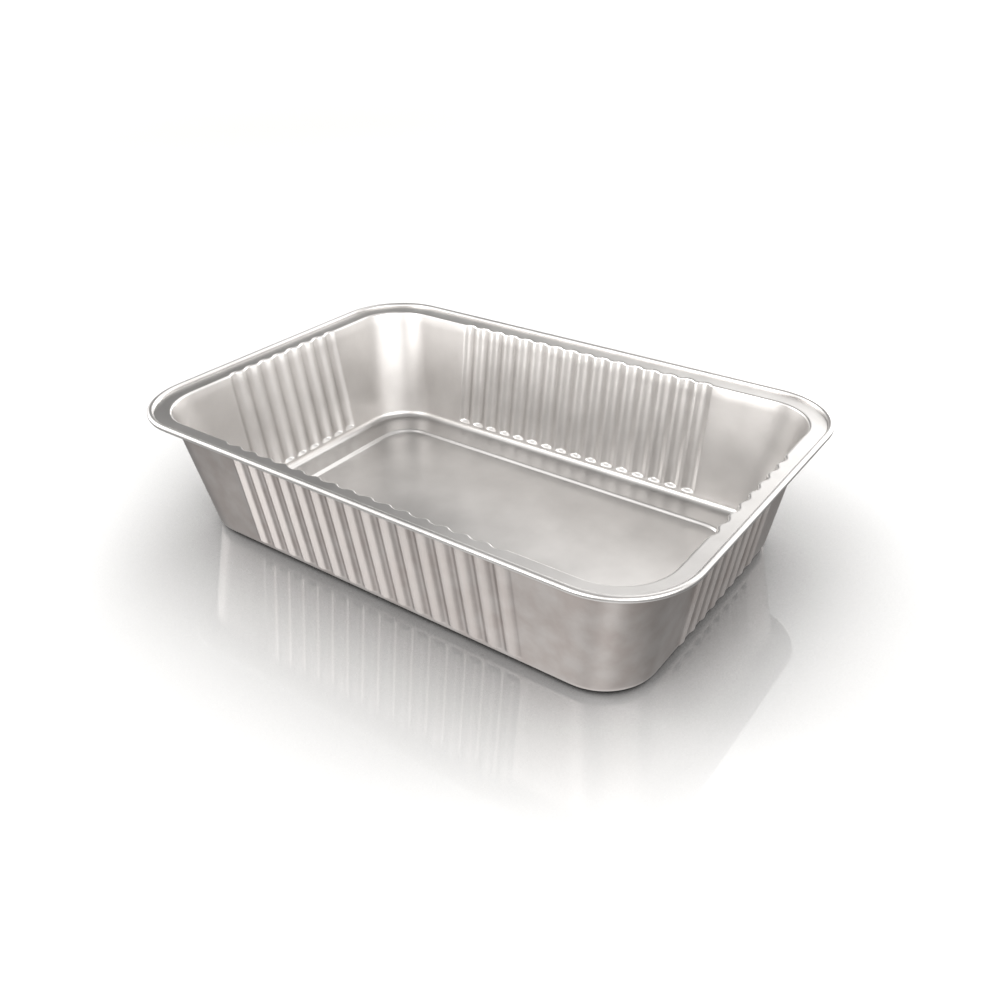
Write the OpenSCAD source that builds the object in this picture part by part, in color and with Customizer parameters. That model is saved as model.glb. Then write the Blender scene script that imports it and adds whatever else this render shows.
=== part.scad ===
// Rectangular takeaway tray, pressed and curled from one sheet of aluminium foil.
// The sheet is a loft: one section runs from the edge rolled up in the curl, over the
// flange, down the wall and across the floor, and is carried round a rounded rectangle.
// The long side lies along X, the short side along Y, and the floor panel stands on Z = 0.

/* [Overall size] */
// Length outside the rolled rim
overall_l = 216; // [190:1:300]
// Width outside the rolled rim
overall_w = 147; // [138:1:220]
// Height from the floor panel's underside to the top of the rim
overall_h = 49.5; // [25:0.5:75]
// Thickness of the foil
sheet_t = 0.1; // [0.06:0.02:0.3]

/* [Rim] */
// Corner radius outside the rolled rim
rim_r = 26.6; // [20:0.2:34]
// Diameter of the rolled curl
curl_d = 2.2; // [1.6:0.1:3.2]
// Angle at which the rolled edge ends, counted up and over from the flange's side
curl_end = 300; // [210:30:300]
// Height of the curl's top above the flange
curl_lift = 1.4; // [1.1:0.1:1.6]
// Width of the flange between the curl and the wall
flange_w = 5.7; // [3:0.1:10]
// How far the flange falls from the curl to the wall
flange_fall = 0.4; // [0:0.1:1]
// Radius of the bend from the flange into the wall
brow_r = 0.9; // [0.5:0.1:2]

/* [Walls] */
// Lean of the walls away from upright, in degrees
draft = 8.7; // [3:0.1:14]
// Corner radius of the walls where they meet the floor
wall_r = 19; // [14:0.5:24]
// Radius of the bend from the wall into the floor
foot_r = 3; // [1.5:0.1:5]

/* [Ribs] */
// Ribs pressed into each long wall
long_ribs = 16; // [1:1:16]
// Ribs pressed into each short wall
short_ribs = 8; // [1:1:8]
// Distance from one rib to the next
rib_pitch = 7.3; // [6.8:0.1:7.8]
// Width of a rib where it leaves the wall
rib_mouth = 6.4; // [4.6:0.1:6.6]
// Width of a rib's outer face
rib_crest = 3.4; // [1.5:0.1:4.4]
// How far a rib stands out from the wall
rib_depth = 1.1; // [0.3:0.1:1.8]
// Height of the ledge's inner edge above the foot bend
ledge_gap = 0.3; // [0.2:0.1:5]
// Height of the sloping ledge that closes each rib's lower end
ledge_rise = 1.2; // [0.4:0.1:3]

/* [Floor] */
// Width of the flat band between the foot bend and the panel
band_w = 9.1; // [4:0.1:14]
// Depth that the panel is pressed below the band
panel_drop = 1.1; // [0.4:0.1:2.5]
// Level run of the sloping step down to the panel
step_run = 1.4; // [0.5:0.1:3]
// Corner radius of the panel's step
panel_r = 13.2; // [8:0.2:17]

/* [Smoothness] */
// Steps round each corner
corner_steps = 8; // [4:1:9]
// Steps round the bend at the foot
foot_steps = 4; // [2:1:6]
// Steps up each side of a rib
rib_steps = 3; // [1:1:3]

/* [Hidden] */
brow_steps = 2;

// Places in the section: distance in from the rim's outside, and height.
curl_r = curl_d / 2;
curl_z = overall_h - curl_r;
curl_start = asin((curl_r - curl_lift) / curl_r);
flange_z = overall_h - curl_lift;
crease_in = curl_r + curl_r * cos(curl_start);
wall_in = curl_d + flange_w;
wall_top = flange_z - flange_fall;
wall_top_r = rim_r - wall_in;
flange_lean = atan(flange_fall / (wall_in - crease_in));

// Floor heights on the foil's upper face.
panel_z = sheet_t;
band_z = panel_z + panel_drop;

// The bends at the top and the foot of the wall, tangent to what they join.
brow_turn = 90 - draft - flange_lean;
brow_reach = brow_r * tan(brow_turn / 2);
brow_in = wall_in - brow_reach * cos(flange_lean) + brow_r * sin(flange_lean);
brow_z = wall_top + brow_reach * sin(flange_lean) - brow_r * cos(flange_lean);
foot_z = band_z + foot_r;
foot_in = wall_in + (wall_top - foot_z) * tan(draft) + foot_r / cos(draft);
foot_top = foot_z - foot_r * sin(draft);
band_in = foot_in + band_w;

// The ledge that closes each rib below.
ledge_low = foot_top + ledge_gap;
ledge_high = ledge_low + ledge_rise;

function wall_at(z) = wall_in + (wall_top - z) * tan(draft);
function wall_radius(z) =
    wall_top_r + (wall_r - wall_top_r) * (wall_top - z) / (wall_top - foot_top);

// A point of the section: distance in, height, way through the foil from its upper face
// to its lower face, and the corner radius there.
function rim_point(x, z, way) = [x, z, way, rim_r - x];
function wall_point(z) = [wall_at(z), z, [-cos(draft), -sin(draft)], wall_radius(z)];

// Way through the foil at a fold between two stretches of the section.
function fold(a, b) = (a + b) / (1 + a * b);
flange_way = [-sin(flange_lean), -cos(flange_lean)];

function curl_point(t, way) =
    rim_point(curl_r + curl_r * cos(t), curl_z + curl_r * sin(t), way);
function curl_way(t) = [-cos(t), -sin(t)];
curl_section = [for (t = [curl_end:-30:30]) curl_point(t, curl_way(t))];
crease = curl_point(curl_start, fold(curl_way(curl_start), flange_way));

brow_section = [
    for (k = [0:brow_steps])
        let (t = 90 - flange_lean - brow_turn * k / brow_steps, way = [cos(t), sin(t)])
            rim_point(brow_in + brow_r * way.x, brow_z + brow_r * way.y, -way)
];

foot_section = [
    for (k = [0:foot_steps])
        let (
            t = draft + (90 - draft) * k / foot_steps,
            way = [-cos(t), -sin(t)],
            x = foot_in + foot_r * way.x
        )
            [x, foot_z + foot_r * way.y, way, wall_r - (x - wall_at(foot_top))]
];

step_lean = atan(panel_drop / step_run);
step_way = fold([0, -1], [-sin(step_lean), -cos(step_lean)]);
step_section = [
    [band_in, band_z, step_way, panel_r],
    [band_in + step_run, panel_z, step_way, panel_r - step_run]
];

// Ribs stand only on the straight part of a wall, so a short wall takes fewer.
function straight(reach) = 2 * (reach - wall_at(foot_top) - wall_r) - 2;
function ribs_on(wanted, length) = min(wanted, floor(straight(length / 2) / rib_pitch));
counts = [ribs_on(short_ribs, overall_w), ribs_on(long_ribs, overall_l)];

// Kinds of ring: plain has only its corners, marked has both edges of each rib too, and
// ribbed has every station of each rib.
plain = 0;
marked = 1;
ribbed = 2;

// Stations across one rib: distance from its middle and share of its depth, eased so
// that its sides run smoothly into the wall and the outer face.
function eased(s) = s * s * (3 - 2 * s);
flank_w = (rib_mouth - rib_crest) / 2;
rib_half = [for (k = [0:rib_steps]) [rib_mouth / 2 - flank_w * k / rib_steps, eased(k / rib_steps)]];
rib_profile = concat(
    [for (k = [0:rib_steps]) [-rib_half[k].x, rib_half[k].y]],
    [for (k = [rib_steps:-1:0]) rib_half[k]]
);
rib_edges = [[-rib_mouth / 2, 0], [rib_mouth / 2, 0]];
per_rib = [[], rib_edges, rib_profile];

function side_stations(kind, q) = [
    for (i = [0:counts[q % 2] - 1], p = per_rib[kind])
        [p.x + (i - (counts[q % 2] - 1) / 2) * rib_pitch, p.y]
];

function quarter_turn(p, q) =
    q == 0 ? p : q == 1 ? [-p.y, p.x] : q == 2 ? [-p.x, -p.y] : [p.y, -p.x];

// The rings of the loft, from the rolled edge to the panel: a point of the section, the
// kind of ring, and how far the ribs stand out there.
loft = concat(
    [for (s = curl_section) [s, plain, 0]],
    [[crease, marked, 0]],
    [for (s = brow_section) [s, ribbed, rib_depth]],
    [[wall_point(ledge_high), ribbed, rib_depth]],
    [[wall_point(ledge_low), marked, 0]],
    [for (s = concat(foot_section, step_section)) [s, plain, 0]]
);
last = len(loft) - 1;

// Points of one ring: for each side its rib stations, and then the corner after it. face
// is 0 on the foil's upper face and 1 on its lower face.
function ring(k, face) =
    let (
        s = loft[k][0],
        shift = face * sheet_t,
        x = s[0] + shift * s[2].x,
        z = s[1] + shift * s[2].y,
        r = s[3] - shift * s[2].x
    ) [
        for (q = [0:3])
            let (
                reach = (q % 2 == 0 ? overall_l : overall_w) / 2 - x,
                span = (q % 2 == 0 ? overall_w : overall_l) / 2 - x,
                side = [
                    for (p = side_stations(loft[k][1], q)) [reach + loft[k][2] * p.y, p.x]
                ],
                corner = [
                    for (i = [0:corner_steps])
                        let (t = 90 * i / corner_steps)
                            [reach - r + r * cos(t), span - r + r * sin(t)]
                ]
            )
                for (p = concat(side, corner))
                    let (w = quarter_turn(p, q)) [w.x, w.y, z]
    ];

// Counts of points, and a ring's first point in its skin.
function side_n(kind, q) = counts[q % 2] * len(per_rib[kind]);
function side_start(kind, q) =
    q == 0 ? 0 : side_start(kind, q - 1) + side_n(kind, q - 1) + corner_steps + 1;
ring_n = [for (kind = [plain, marked, ribbed]) side_start(kind, 4)];
function ring_start(k) = k == 0 ? 0 : ring_start(k - 1) + ring_n[loft[k - 1][1]];
skin_n = ring_start(last + 1);

// For each point of a ring of one kind, the matching point of a ring of a finer kind.
function matches(kind, finer) = [
    for (q = [0:3])
        let (
            rib_n = len(per_rib[finer]),
            side = kind == finer
                ? [for (i = [0:1:side_n(kind, q) - 1]) i]
                : kind == plain
                    ? []
                    : [for (i = [0:counts[q % 2] - 1], e = [0, rib_n - 1]) i * rib_n + e],
            corner = [for (i = [0:corner_steps]) side_n(finer, q) + i]
        )
            for (i = concat(side, corner)) side_start(finer, q) + i
];

// Triangles between the ring that starts at a and the finer ring that starts at b. Each
// edge of the first fans out from both its ends to the points that it faces.
function stitch(a, b, kind, finer) =
    let (match = matches(kind, finer), n = ring_n[kind], m = ring_n[finer]) [
        for (i = [0:n - 1])
            let (
                j = (i + 1) % n,
                steps = (match[j] - match[i] + m) % m,
                chain = [for (c = [0:steps]) b + (match[i] + c) % m],
                half = floor(steps / 2)
            )
                each concat(
                    [[a + i, chain[half], a + j]],
                    [
                        for (c = [0:steps - 1])
                            [a + (c < half ? i : j), chain[c], chain[c + 1]]
                    ]
                )
    ];

function flipped(faces) = [for (f = faces) [for (i = [len(f) - 1:-1:0]) f[i]]];

function between(k) =
    let (a = ring_start(k), b = ring_start(k + 1), kind = loft[k][1], next = loft[k + 1][1])
        kind <= next ? stitch(a, b, kind, next) : flipped(stitch(b, a, next, kind));

module tray() {
    panel = [for (i = [1:ring_n[plain]]) skin_n - i];
    upper = concat([for (k = [0:last - 1]) each between(k)], [panel]);
    lower = [for (f = flipped(upper)) [for (i = f) i + skin_n]];
    edge = stitch(skin_n, 0, plain, plain);
    points = [for (face = [0, 1], k = [0:last]) each ring(k, face)];
    color([0.78, 0.77, 0.75])
        polyhedron(points, concat(upper, lower, edge), convexity = 10);
}

tray();
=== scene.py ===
import math

import bpy
import numpy as np
from mathutils import Matrix, Vector, geometry, noise

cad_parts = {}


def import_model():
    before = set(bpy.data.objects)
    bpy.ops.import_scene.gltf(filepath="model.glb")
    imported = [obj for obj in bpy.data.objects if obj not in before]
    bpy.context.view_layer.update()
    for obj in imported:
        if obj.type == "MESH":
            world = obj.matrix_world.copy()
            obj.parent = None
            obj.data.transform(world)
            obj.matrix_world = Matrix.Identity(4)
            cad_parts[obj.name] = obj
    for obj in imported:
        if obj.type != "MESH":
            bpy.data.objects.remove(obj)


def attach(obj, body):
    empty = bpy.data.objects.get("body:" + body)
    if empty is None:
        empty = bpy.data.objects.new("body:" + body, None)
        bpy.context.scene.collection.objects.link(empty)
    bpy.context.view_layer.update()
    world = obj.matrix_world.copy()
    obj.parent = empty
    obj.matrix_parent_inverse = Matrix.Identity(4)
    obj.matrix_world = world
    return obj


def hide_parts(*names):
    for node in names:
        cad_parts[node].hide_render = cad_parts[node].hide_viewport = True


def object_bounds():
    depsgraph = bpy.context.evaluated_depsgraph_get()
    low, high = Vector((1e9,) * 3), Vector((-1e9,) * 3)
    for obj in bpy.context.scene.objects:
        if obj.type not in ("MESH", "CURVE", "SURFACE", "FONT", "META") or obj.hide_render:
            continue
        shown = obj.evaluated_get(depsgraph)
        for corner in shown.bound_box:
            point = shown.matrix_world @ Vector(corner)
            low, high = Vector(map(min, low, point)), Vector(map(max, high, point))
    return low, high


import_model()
CAD_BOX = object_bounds()

# The look of a pressed foil tray: the same sheet as the CAD node, lofted finer, with
# rounder ribs and soft dents. Sizes are in millimetres until the mesh is made.
MM = 0.001
high = CAD_BOX[1]
HALF_L = high.x / MM
HALF_W = high.y / MM
HEIGHT = high.z / MM

# The sheet and its rim.
SHEET_T = 0.1
RIM_R = 26.6
CURL_R = 1.1
CURL_LIFT = 1.4
CURL_END = 300
FLANGE_W = 5.7
FLANGE_FALL = 0.4
BROW_R = 0.9

# The walls and the floor.
DRAFT = math.radians(8.7)
WALL_R = 19
FOOT_R = 3
BAND_W = 9.1
PANEL_DROP = 1.1
STEP_RUN = 1.4
PANEL_R = 13.2

# The ribs, rounder than in the CAD: each runs in one soft wave into the next.
LONG_RIBS = 16
SHORT_RIBS = 8
RIB_PITCH = 7.3
RIB_MOUTH = 6.9
RIB_CREST = 1.0
RIB_DEPTH = 1.1
LEDGE_GAP = 0.3
LEDGE_RISE = 1.2
LEDGE_ROUND = 0.3

# How finely the loft is cut.
CURL_STEP = 21
BROW_STEPS = 4
WALL_STEPS = 10
FOOT_STEPS = 8
STEP_STEPS = 6
CORNER_STEPS = 20
PLAIN_STEPS = 5
PANEL_CELL = 4.0

# Where the loft's rings and points lie, as shares of the way across each part of the section.
FLANGE_SHARES = (0.04, 0.35, 0.7, 0.92)
LEDGE_SHARES = (0.94, 0.72, 0.28, 0.06)
BAND_SHARES = (0.3, 0.65, 0.96)
FLANK_SHARES = (0, 0.15, 0.3, 0.45, 0.55, 0.7, 1)
FOOT_MARGIN = 0.1
NEAR_ENOUGH = 1e-6

# Soft dents in the walls and the floor panel, in millimetres, fading out towards their edges.
DENT_DEPTH = 0.02
DENT_SIZE = 26.0
DENT_SEED = 3.1
DENT_FADE_POWER = 4
PANEL_DENT_DEPTH = 0.03
PANEL_DENT_SEED = 8.7
PANEL_DENT_HALF = (74, 39)
PANEL_DENT_FADE = 12

# The outer rib faces are rubbed matt and carry a painted highlight: a pale tone, strongest near the
# front left corner. A point takes both from a share of the ribs' depth on, and fully from a larger
# share.
RUB_HIGHLIGHT_AT = (-100, -66)
RUB_HIGHLIGHT_REACH = 235
RUB_HIGHLIGHT_STRENGTH = 1.25
RUB_HIGHLIGHT_LEAST = 0.25
RUB_HIGHLIGHT_FROM = 0.5
RUB_HIGHLIGHT_FULL = 0.68

# The photograph's camera: place in metres, angles in degrees, lens and sensor in millimetres.
CAMERA_AT = (0.183314, -0.239015, 0.192112)
CAMERA_HEADING = 36.357
CAMERA_DIP = 30.991
CAMERA_ROLL = -1.144
CAMERA_LENS = 33.914
SENSOR = 36.0
CAMERA_SEES = (0.01, 50)

# The studio's plain light: height in degrees above the horizon, and brightness.
SKY = (
    (-90, 1.35), (-55, 0.40), (-30, 0.30), (-3, 0.30), (1, 1.0), (4, 1.0), (9, 0.45), (13, 0.25),
    (20, 0.28), (32, 0.05), (72, 0.10), (90, 0.60),
)
SKY_MOST = 4.0
SKY_TINT = (1.0, 0.995, 0.985)

# Soft panels of light: heading from +X towards +Y, height, spread in degrees, brightness.
PANELS = (
    # Behind the tray, low and high.
    (55, 27, 14, 3.8),
    (90, 60, 12, 2.8),
    (92, 6, 10, 16.5),
    (113, 40, 9, 1.8),
    # To the left, low.
    (170, 25, 9, 2.1),
    (195, 20, 12, 7.8),
    # To the left, high: it lights the bend at the foot of the back wall.
    (215, 52, 14, 1.1),
    # In front.
    (255, 30, 12, 4.7),
    (258, 14, 9, 11),
    # To the front right: they make one broad highlight in the back left corner.
    (312, 20, 16, 3),
    (335, 20, 16, 3),
    (358, 20, 12, 3.3),
    (330, 45, 14, 1.3),
    # Below the horizon: they light the outside of the front wall and of its right corner.
    (225, -50, 14, 0.8),
    (300, -50, 9, 1.1),
)

# The foil's mottled tone and roughness.
FOIL_DARK = (0.490, 0.477, 0.467)
FOIL_PALE = (0.570, 0.556, 0.545)
MOTTLE_SCALE = 55
MOTTLE_DETAIL = 4
MOTTLE_FROM = 0.3
MOTTLE_TO = 0.7
ROUGH_LEAST = 0.30
ROUGH_MOST = 0.36

# The outer skin is duller, in patches.
OUTER_SHARE = (0.735, 0.677, 0.657)
PATCH_SCALE = 130
PATCH_DETAIL = 3
PATCH_FROM = 0.35
PATCH_TO = 0.65
PATCH_LEAST = 0.6

# Where the ribs are rubbed matt and painted with a pale highlight tone, and the fine grain all over.
RUB_HIGHLIGHT_TONE = (0.465, 0.432, 0.416)
RUBBED_ROUGH = 0.55
RUBBED_METAL = 0.25
GRAIN_SCALE = 1400
GRAIN_DETAIL = 2
GRAIN_STRENGTH = 0.03
GRAIN_DEPTH = 0.3 * MM

# The floor, and its painted shade: its colour darkens close to the tray. Sizes in metres.
FLOOR_HALF = 12.0
FLOOR_GREY = 0.72
FLOOR_SHADED = 0.0
FLOOR_REACH = 0.18
FLOOR_NEAR = 0.14
FLOOR_LEAN = (-0.08, 0.0, 1.0)
FLOOR_IOR = 1.45
FLOOR_ROUGH = 0.02
SHADE_SAMPLES = 8


def eased(s):
    """A share from 0 to 1, with soft starts and ends."""
    return s * s * (3 - 2 * s)


def wall_at(z):
    """Distance of the plain wall in from the rim's outside, at height z."""
    return WALL_IN + (WALL_TOP - z) * math.tan(DRAFT)


def wall_radius(z):
    """Radius of the wall's corners at height z."""
    return WALL_TOP_R + (WALL_R - WALL_TOP_R) * (WALL_TOP - z) / (WALL_TOP - FOOT_TOP)


# Places in the section: distance in from the rim's outside, and height.
CURL_Z = HEIGHT - CURL_R
CURL_START = math.degrees(math.asin((CURL_R - CURL_LIFT) / CURL_R))
FLANGE_Z = HEIGHT - CURL_LIFT
CREASE_IN = CURL_R + CURL_R * math.cos(math.radians(CURL_START))
WALL_IN = 2 * CURL_R + FLANGE_W
WALL_TOP = FLANGE_Z - FLANGE_FALL
WALL_TOP_R = RIM_R - WALL_IN
FLANGE_SLOPE = FLANGE_FALL / (WALL_IN - CREASE_IN)
FLANGE_LEAN = math.atan(FLANGE_SLOPE)
BAND_Z = SHEET_T + PANEL_DROP
BROW_TURN = math.pi / 2 - DRAFT - FLANGE_LEAN
BROW_REACH = BROW_R * math.tan(BROW_TURN / 2)
BROW_IN = WALL_IN - BROW_REACH * math.cos(FLANGE_LEAN) + BROW_R * math.sin(FLANGE_LEAN)
BROW_Z = WALL_TOP + BROW_REACH * math.sin(FLANGE_LEAN) - BROW_R * math.cos(FLANGE_LEAN)
FOOT_Z = BAND_Z + FOOT_R
FOOT_IN = WALL_IN + (WALL_TOP - FOOT_Z) * math.tan(DRAFT) + FOOT_R / math.cos(DRAFT)
FOOT_TOP = FOOT_Z - FOOT_R * math.sin(DRAFT)
BAND_IN = FOOT_IN + BAND_W
LEDGE_LOW = FOOT_TOP + LEDGE_GAP
LEDGE_HIGH = LEDGE_LOW + LEDGE_RISE


# A ring of the loft is its distance in from the rim's outside, its height, the radius of
# its corners, the share of the ribs' depth, and how far the ribs lift it up the flange.
def curl_rings():
    """The rolled edge, from its hidden end over the top to the crease."""
    turns = list(np.arange(CURL_END, CURL_START, -CURL_STEP)) + [CURL_START]
    rings = []
    for turn in turns:
        t = math.radians(turn)
        x = CURL_R + CURL_R * math.cos(t)
        rings.append((x, CURL_Z + CURL_R * math.sin(t), RIM_R - x, 0.0, 0.0))
    return rings


def flange_rings():
    """The flange, which takes on the ribs' outline towards its inner edge."""
    brow_start = BROW_IN + BROW_R * math.sin(FLANGE_LEAN)
    rings = []
    for t in FLANGE_SHARES:
        x = CREASE_IN + t * (brow_start - CREASE_IN)
        rings.append((x, FLANGE_Z - FLANGE_SLOPE * (x - CREASE_IN), RIM_R - x, t, t))
    return rings


def brow_rings():
    """The bend from the flange into the wall."""
    rings = []
    for k in range(BROW_STEPS + 1):
        t = math.pi / 2 - FLANGE_LEAN - BROW_TURN * k / BROW_STEPS
        x = BROW_IN + BROW_R * math.cos(t)
        rings.append((x, BROW_Z + BROW_R * math.sin(t), RIM_R - x, 1.0, 1 - k / BROW_STEPS))
    return rings


def wall_rings():
    """The wall, and the sloping ledges that close the ribs below."""
    top = BROW_Z + BROW_R * math.sin(DRAFT)
    foot = LEDGE_HIGH + LEDGE_ROUND
    heights = [top + (foot - top) * k / WALL_STEPS for k in range(1, WALL_STEPS + 1)]
    shares = [1.0] * WALL_STEPS
    for share in LEDGE_SHARES:
        heights.append(LEDGE_LOW + share * LEDGE_RISE)
        shares.append(eased(share))
    heights.append(FOOT_TOP + FOOT_MARGIN)
    shares.append(0.0)
    return [(wall_at(z), z, wall_radius(z), s, 0.0) for z, s in zip(heights, shares)]


def floor_rings():
    """The bend at the foot, the flat band and the step down to the panel."""
    rings = []
    for k in range(FOOT_STEPS + 1):
        t = DRAFT + (math.pi / 2 - DRAFT) * k / FOOT_STEPS
        x = FOOT_IN - FOOT_R * math.cos(t)
        radius = WALL_R - (x - wall_at(FOOT_TOP))
        rings.append((x, FOOT_Z - FOOT_R * math.sin(t), radius, 0.0, 0.0))
    for share in BAND_SHARES:
        x = FOOT_IN + share * BAND_W
        radius = rings[FOOT_STEPS][2] + share * (PANEL_R - rings[FOOT_STEPS][2])
        rings.append((x, BAND_Z, radius, 0.0, 0.0))
    for k in range(STEP_STEPS + 1):
        s = k / STEP_STEPS
        z = BAND_Z - PANEL_DROP * eased(s)
        rings.append((BAND_IN + STEP_RUN * s, z, PANEL_R - STEP_RUN * s, 0.0, 0.0))
    return rings


def rib_stations(count):
    """Places along a wall's ribbed stretch, and the share of the rib depth at each."""
    flank = (RIB_MOUTH - RIB_CREST) / 2
    half = [(RIB_MOUTH / 2 - flank * s, eased(s)) for s in FLANK_SHARES]
    one = [(-p, s) for p, s in half] + half[::-1]
    middles = [(i - (count - 1) / 2) * RIB_PITCH for i in range(count)]
    return [(m + p, s) for m in middles for p, s in one]


def ring_points(ring):
    """Points of one ring, each with its height, rib share and place along its side."""
    x, z, radius, share, lift = ring
    points = []
    for q in range(4):
        reach, span = (HALF_L - x, HALF_W - x) if q % 2 == 0 else (HALF_W - x, HALF_L - x)
        ribs = rib_stations(SHORT_RIBS if q % 2 == 0 else LONG_RIBS)
        end = span - radius
        edge = -ribs[0][0]
        side = [(-end + (end - edge) * k / PLAIN_STEPS, 0.0) for k in range(1, PLAIN_STEPS)]
        side += ribs
        side += [(edge + (end - edge) * k / PLAIN_STEPS, 0.0) for k in range(1, PLAIN_STEPS)]
        outline = [
            (reach + RIB_DEPTH * share * s, p, z + lift * s * RIB_DEPTH * FLANGE_SLOPE, s * share)
            for p, s in side
        ]
        for i in range(CORNER_STEPS + 1):
            t = math.pi / 2 * i / CORNER_STEPS
            outline.append((reach - radius + radius * math.cos(t), end + radius * math.sin(t), z, 0.0))
        turn = ((1, 0), (0, 1), (-1, 0), (0, -1))[q]
        for a, b, height, rib in outline:
            points.append((a * turn[0] - b * turn[1], a * turn[1] + b * turn[0], height, rib))
    return points


def panel_fill(rim_ring):
    """Inner points and triangles that fill the panel inside its last ring."""
    outline = [Vector((p[0], p[1])) for p in rim_ring]
    count = len(outline)
    half_x = max(p.x for p in outline)
    half_y = max(p.y for p in outline)
    inner = []
    rows = int(2 * half_y / PANEL_CELL)
    for row in range(rows + 1):
        y = (row - rows / 2) * PANEL_CELL
        columns = int(2 * half_x / PANEL_CELL)
        for column in range(columns + 1):
            x = (column - columns / 2 + (row % 2) * 0.5) * PANEL_CELL
            if inside_panel(x, y, half_x, half_y):
                inner.append(Vector((x, y)))
    edges = [(i, (i + 1) % count) for i in range(count)]
    made = geometry.delaunay_2d_cdt(outline + inner, edges, [], 1, NEAR_ENOUGH)
    return inner, [list(f) for f in made[2]]


def inside_panel(x, y, half_x, half_y):
    """True where a point lies well inside the panel's rounded outline."""
    radius = PANEL_R - STEP_RUN
    dx = max(abs(x) - (half_x - radius), 0)
    dy = max(abs(y) - (half_y - radius), 0)
    return math.hypot(dx, dy) < radius - PANEL_CELL / 2


def dent(x, y, z, seed):
    """Smooth noise from -1 to 1 at a point of the tray, the same for the same seed."""
    return noise.noise(Vector((x, y, z)) / DENT_SIZE + Vector((seed, 0, 0)))


def build_tray():
    """The tray's mesh: an upper and a lower skin, joined along the rolled edge."""
    rings = curl_rings() + flange_rings() + brow_rings() + wall_rings() + floor_rings()
    table = np.array([ring_points(r) for r in rings])
    ring_count, ring_n = table.shape[:2]
    inner, panel_faces = panel_fill(table[-1])

    upper = np.vstack([table[:, :, :3].reshape(-1, 3), [(p.x, p.y, SHEET_T) for p in inner]])
    rib_share = np.concatenate([table[:, :, 3].ravel(), np.zeros(len(inner))])
    # Painted highlight on the outer rib faces: a pale tone, strongest near the front left corner, which
    # goes with their rubbed matt finish.
    rub_highlight = (rib_share - RUB_HIGHLIGHT_FROM) / (RUB_HIGHLIGHT_FULL - RUB_HIGHLIGHT_FROM)
    rub_highlight = np.clip(rub_highlight, 0, 1) * rub_highlight_strength(upper)
    last = (ring_count - 1) * ring_n

    quads = []
    for k in range(ring_count - 1):
        for i in range(ring_n):
            j = (i + 1) % ring_n
            a, b = k * ring_n, (k + 1) * ring_n
            quads.append((a + i, a + j, b + j, b + i))
    fills = [tuple(last + v for v in f) for f in panel_faces]

    normals = skin_normals(upper, quads, fills)
    wall_from = len(curl_rings()) + len(flange_rings()) + len(brow_rings())
    wall_to = wall_from + len(wall_rings())
    upper = dented(upper, normals, ring_n, wall_from, wall_to)
    normals = skin_normals(upper, quads, fills)
    lower = upper - normals * SHEET_T

    n = len(upper)
    faces = quads + fills
    faces += [tuple(n + v for v in reversed(f)) for f in quads + fills]
    faces += [(n + i, n + (i + 1) % ring_n, (i + 1) % ring_n, i) for i in range(ring_n)]
    points = np.vstack([upper, lower]) * MM

    mesh = bpy.data.meshes.new("foil_tray")
    mesh.from_pydata(points.tolist(), [], faces)
    mesh.validate()
    # The painted highlight and rubbing of the outer rib faces, kept on the mesh for the foil.
    mark = mesh.attributes.new("rub_highlight", "FLOAT", "POINT")
    mark.data.foreach_set("value", np.concatenate([np.zeros(n), rub_highlight]).astype(np.float32))
    side = mesh.attributes.new("outer", "FLOAT", "POINT")
    side.data.foreach_set("value", np.concatenate([np.zeros(n), np.ones(n)]).astype(np.float32))
    mesh.shade_smooth()
    tray = bpy.data.objects.new("foil_tray", mesh)
    bpy.context.scene.collection.objects.link(tray)
    return tray


def rub_highlight_strength(points):
    """How strongly the outer skin is rubbed matt and painted with the pale highlight at each point."""
    away = np.hypot(points[:, 0] - RUB_HIGHLIGHT_AT[0], points[:, 1] - RUB_HIGHLIGHT_AT[1])
    return np.clip(RUB_HIGHLIGHT_STRENGTH * (1 - away / RUB_HIGHLIGHT_REACH), RUB_HIGHLIGHT_LEAST, 1)


def skin_normals(points, quads, fills):
    """Unit normals of a skin's points, weighted by the area of the faces round each."""
    total = np.zeros_like(points)
    for faces in (np.array(quads), np.array(fills)):
        a, b, c, d = (points[faces[:, i % faces.shape[1]]] for i in (0, 1, 2, -1))
        way = np.cross(c - a, d - b) if faces.shape[1] == 4 else np.cross(b - a, c - a)
        for i in range(faces.shape[1]):
            np.add.at(total, faces[:, i], way)
    return total / np.linalg.norm(total, axis=1)[:, None]


def dented(points, normals, ring_n, wall_from, wall_to):
    """Soft dents: the walls move either way, and the floor panel only up."""
    out = points.copy()
    middle = (wall_from + wall_to) / 2
    reach = (wall_to - wall_from) / 2
    for i, (x, y, z) in enumerate(points):
        k = i // ring_n
        if wall_from <= k < wall_to:
            share = 1 - (abs(k - middle) / reach) ** DENT_FADE_POWER
            out[i] += normals[i] * DENT_DEPTH * share * dent(x, y, z, DENT_SEED)
        elif z <= SHEET_T + NEAR_ENOUGH:
            lift = 0.5 + 0.5 * dent(x, y, 0, PANEL_DENT_SEED)
            out[i][2] += PANEL_DENT_DEPTH * panel_share(x, y) * lift
    return out


def panel_share(x, y):
    """Full depth of the dents inside the panel, none at its edge."""
    long_way = (PANEL_DENT_HALF[0] - abs(x)) / PANEL_DENT_FADE
    short_way = (PANEL_DENT_HALF[1] - abs(y)) / PANEL_DENT_FADE
    return min(1.0, max(0.0, long_way), max(0.0, short_way))


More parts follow.
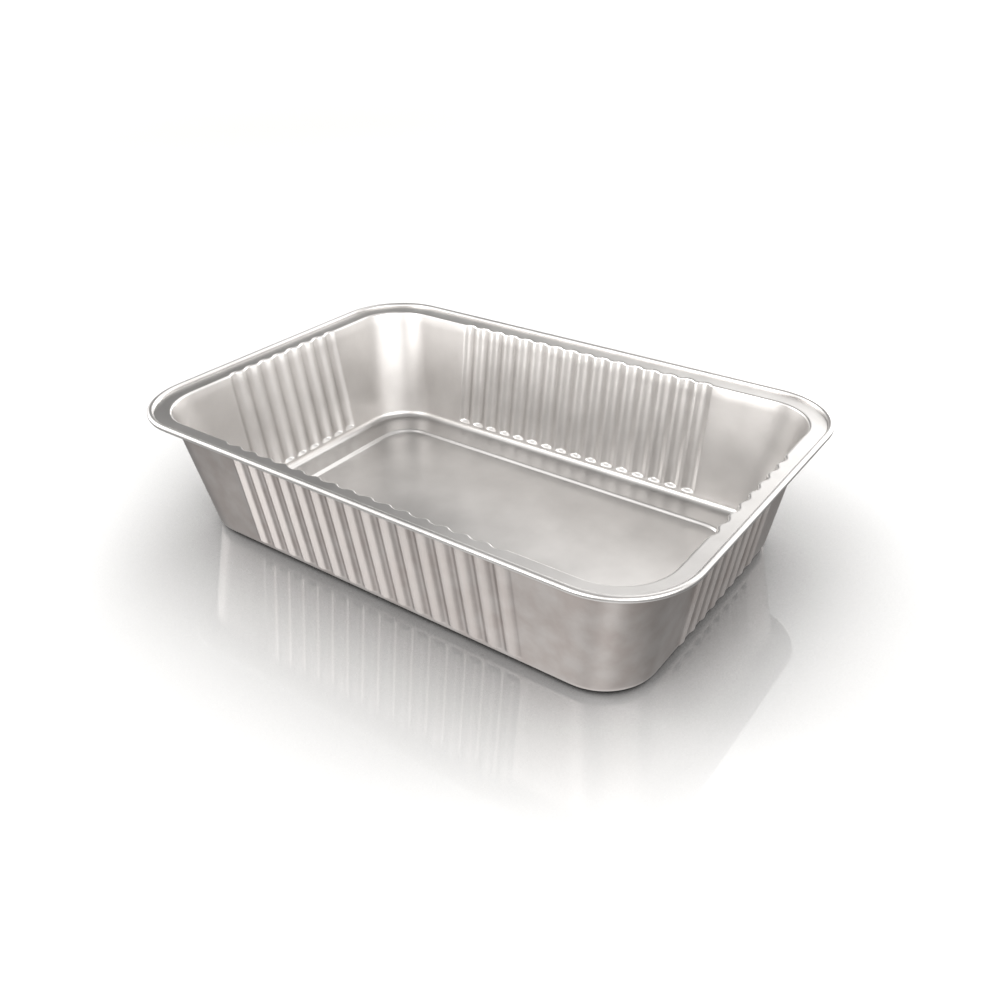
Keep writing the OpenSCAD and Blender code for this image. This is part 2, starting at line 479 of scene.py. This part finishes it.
def camera():
    """The camera that took the photograph, worked out from the tray's outlines."""
    data = bpy.data.cameras.new("camera")
    data.sensor_width = SENSOR
    data.lens = CAMERA_LENS
    data.clip_start, data.clip_end = CAMERA_SEES
    cam = bpy.data.objects.new("camera", data)
    bpy.context.scene.collection.objects.link(cam)
    cam.matrix_world = (
        Matrix.Translation(CAMERA_AT)
        @ Matrix.Rotation(math.radians(CAMERA_HEADING), 4, "Z")
        @ Matrix.Rotation(math.radians(90 - CAMERA_DIP), 4, "X")
        @ Matrix.Rotation(math.radians(CAMERA_ROLL), 4, "Z")
    )
    bpy.context.scene.camera = cam


def foil():
    """Satin aluminium foil: mottled, duller outside; the outer rib faces rubbed matt, with a painted
    highlight.
    """
    mat = bpy.data.materials.new("foil")
    mat.use_nodes = True
    tree = mat.node_tree
    tree.nodes.clear()
    link = tree.links.new
    out = tree.nodes.new("ShaderNodeOutputMaterial")
    shader = tree.nodes.new("ShaderNodeBsdfPrincipled")
    link(shader.outputs[0], out.inputs[0])
    place = tree.nodes.new("ShaderNodeTexCoord").outputs["Object"]

    clouds = tree.nodes.new("ShaderNodeTexNoise")
    clouds.inputs["Scale"].default_value = MOTTLE_SCALE
    clouds.inputs["Detail"].default_value = MOTTLE_DETAIL
    link(place, clouds.inputs["Vector"])
    tone = tree.nodes.new("ShaderNodeValToRGB")
    tone.color_ramp.elements[0].position = MOTTLE_FROM
    tone.color_ramp.elements[0].color = (*FOIL_DARK, 1)
    tone.color_ramp.elements[1].position = MOTTLE_TO
    tone.color_ramp.elements[1].color = (*FOIL_PALE, 1)
    link(clouds.outputs["Fac"], tone.inputs["Fac"])

    outer = tree.nodes.new("ShaderNodeAttribute")
    outer.attribute_name = "outer"
    patches = tree.nodes.new("ShaderNodeTexNoise")
    patches.inputs["Scale"].default_value = PATCH_SCALE
    patches.inputs["Detail"].default_value = PATCH_DETAIL
    link(place, patches.inputs["Vector"])
    patchy = tree.nodes.new("ShaderNodeMapRange")
    patchy.inputs["From Min"].default_value = PATCH_FROM
    patchy.inputs["From Max"].default_value = PATCH_TO
    patchy.inputs["To Min"].default_value = PATCH_LEAST
    link(patches.outputs["Fac"], patchy.inputs["Value"])
    dulled = tree.nodes.new("ShaderNodeMath")
    dulled.operation = "MULTIPLY"
    link(outer.outputs["Fac"], dulled.inputs[0])
    link(patchy.outputs["Result"], dulled.inputs[1])
    matt = tree.nodes.new("ShaderNodeMix")
    matt.data_type = "RGBA"
    matt.blend_type = "MULTIPLY"
    matt.inputs["B"].default_value = (*OUTER_SHARE, 1)
    link(dulled.outputs[0], matt.inputs["Factor"])
    link(tone.outputs["Color"], matt.inputs["A"])

    # Painted highlight: the outer rib faces take a pale tone, and they are also rubbed rougher and less
    # metallic.
    rub_highlight = tree.nodes.new("ShaderNodeAttribute")
    rub_highlight.attribute_name = "rub_highlight"
    colour = tree.nodes.new("ShaderNodeMix")
    colour.data_type = "RGBA"
    colour.inputs["B"].default_value = (*RUB_HIGHLIGHT_TONE, 1)
    link(rub_highlight.outputs["Fac"], colour.inputs["Factor"])
    link(matt.outputs["Result"], colour.inputs["A"])
    link(colour.outputs["Result"], shader.inputs["Base Color"])

    rough = tree.nodes.new("ShaderNodeMapRange")
    rough.inputs["To Min"].default_value = ROUGH_LEAST
    rough.inputs["To Max"].default_value = ROUGH_MOST
    link(clouds.outputs["Fac"], rough.inputs["Value"])
    scuffed = tree.nodes.new("ShaderNodeMix")
    scuffed.inputs["B"].default_value = RUBBED_ROUGH
    link(rub_highlight.outputs["Fac"], scuffed.inputs["Factor"])
    link(rough.outputs["Result"], scuffed.inputs["A"])
    link(scuffed.outputs["Result"], shader.inputs["Roughness"])

    frosted = tree.nodes.new("ShaderNodeMix")
    frosted.inputs["A"].default_value = 1.0
    frosted.inputs["B"].default_value = RUBBED_METAL
    link(rub_highlight.outputs["Fac"], frosted.inputs["Factor"])
    link(frosted.outputs["Result"], shader.inputs["Metallic"])

    grain = tree.nodes.new("ShaderNodeTexNoise")
    grain.inputs["Scale"].default_value = GRAIN_SCALE
    grain.inputs["Detail"].default_value = GRAIN_DETAIL
    link(place, grain.inputs["Vector"])
    bump = tree.nodes.new("ShaderNodeBump")
    bump.inputs["Strength"].default_value = GRAIN_STRENGTH
    bump.inputs["Distance"].default_value = GRAIN_DEPTH
    link(grain.outputs["Fac"], bump.inputs["Height"])
    link(bump.outputs["Normal"], shader.inputs["Normal"])
    return mat


def floor_material():
    """A pale satin floor with painted shade: its colour darkens softly where the tray stands over it."""
    mat = bpy.data.materials.new("floor")
    mat.use_nodes = True
    tree = mat.node_tree
    shader = tree.nodes["Principled BSDF"]
    shader.inputs["Roughness"].default_value = FLOOR_ROUGH
    shader.inputs["IOR"].default_value = FLOOR_IOR
    # Painted shade: the floor's colour darkens by how much of the space round each point the tray hides.
    painted_shade = tree.nodes.new("ShaderNodeAmbientOcclusion")
    painted_shade.samples = SHADE_SAMPLES
    painted_shade.inputs["Distance"].default_value = FLOOR_REACH
    lean = tree.nodes.new("ShaderNodeCombineXYZ")
    for socket, value in zip(lean.inputs, Vector(FLOOR_LEAN).normalized()):
        socket.default_value = value
    tree.links.new(lean.outputs[0], painted_shade.inputs["Normal"])
    tone = tree.nodes.new("ShaderNodeMapRange")
    tone.inputs["From Min"].default_value = FLOOR_NEAR
    tone.inputs["To Min"].default_value = FLOOR_SHADED
    tone.inputs["To Max"].default_value = FLOOR_GREY
    tree.links.new(painted_shade.outputs["AO"], tone.inputs["Value"])
    tree.links.new(tone.outputs["Result"], shader.inputs["Base Color"])
    return mat


def stage():
    """The floor. It is hidden from the foil's reflections, which show the studio instead."""
    size = FLOOR_HALF
    mesh = bpy.data.meshes.new("floor")
    corners = [(-size, -size, 0), (size, -size, 0), (size, size, 0), (-size, size, 0)]
    mesh.from_pydata(corners, [], [(0, 1, 2, 3)])
    floor = bpy.data.objects.new("floor", mesh)
    floor.data.materials.append(floor_material())
    floor.visible_glossy = False
    floor.visible_shadow = False
    bpy.context.scene.collection.objects.link(floor)


def sky_level(tree, way):
    """Brightness of the plain sky in a direction."""
    parts = tree.nodes.new("ShaderNodeSeparateXYZ")
    tree.links.new(way, parts.inputs[0])
    place = tree.nodes.new("ShaderNodeMapRange")
    place.inputs["From Min"].default_value = -1
    tree.links.new(parts.outputs["Z"], place.inputs["Value"])
    ramp = tree.nodes.new("ShaderNodeValToRGB")
    stops = ramp.color_ramp.elements
    while len(stops) < len(SKY):
        stops.new(0.5)
    for stop, (height, level) in zip(stops, SKY):
        stop.position = (math.sin(math.radians(height)) + 1) / 2
        stop.color = (level / SKY_MOST, level / SKY_MOST, level / SKY_MOST, 1)
    tree.links.new(place.outputs["Result"], ramp.inputs["Fac"])
    scaled = tree.nodes.new("ShaderNodeMath")
    scaled.operation = "MULTIPLY"
    scaled.inputs[1].default_value = SKY_MOST
    tree.links.new(ramp.outputs["Color"], scaled.inputs[0])
    return scaled.outputs[0]


def with_panel(tree, way, total, heading, height, spread, level):
    """The brightness so far, with one soft panel added to it."""
    h, e = math.radians(heading), math.radians(height)
    towards = tree.nodes.new("ShaderNodeVectorMath")
    towards.operation = "DOT_PRODUCT"
    towards.inputs[1].default_value = (math.cos(h) * math.cos(e), math.sin(h) * math.cos(e), math.sin(e))
    tree.links.new(way, towards.inputs[0])
    fall = tree.nodes.new("ShaderNodeMath")
    fall.operation = "MULTIPLY_ADD"
    fall.inputs[1].default_value = 1 / math.radians(spread) ** 2
    fall.inputs[2].default_value = -1 / math.radians(spread) ** 2
    tree.links.new(towards.outputs["Value"], fall.inputs[0])
    glow = tree.nodes.new("ShaderNodeMath")
    glow.operation = "EXPONENT"
    tree.links.new(fall.outputs[0], glow.inputs[0])
    added = tree.nodes.new("ShaderNodeMath")
    added.operation = "MULTIPLY_ADD"
    added.inputs[1].default_value = level
    tree.links.new(glow.outputs[0], added.inputs[0])
    tree.links.new(total, added.inputs[2])
    return added.outputs[0]


def world():
    """The studio: a plain sky with soft panels, both round the tray and below it."""
    made = bpy.data.worlds.new("studio")
    bpy.context.scene.world = made
    made.use_nodes = True
    tree = made.node_tree
    background = tree.nodes["Background"]
    way = tree.nodes.new("ShaderNodeTexCoord").outputs["Generated"]
    total = sky_level(tree, way)
    for panel in PANELS:
        total = with_panel(tree, way, total, *panel)
    background.inputs["Color"].default_value = (*SKY_TINT, 1)
    tree.links.new(total, background.inputs["Strength"])


camera()
stage()
world()

tray = build_tray()
tray.data.materials.append(foil())
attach(tray, "root")
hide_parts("tray")

scene = bpy.context.scene
scene.view_settings.view_transform = "Standard"
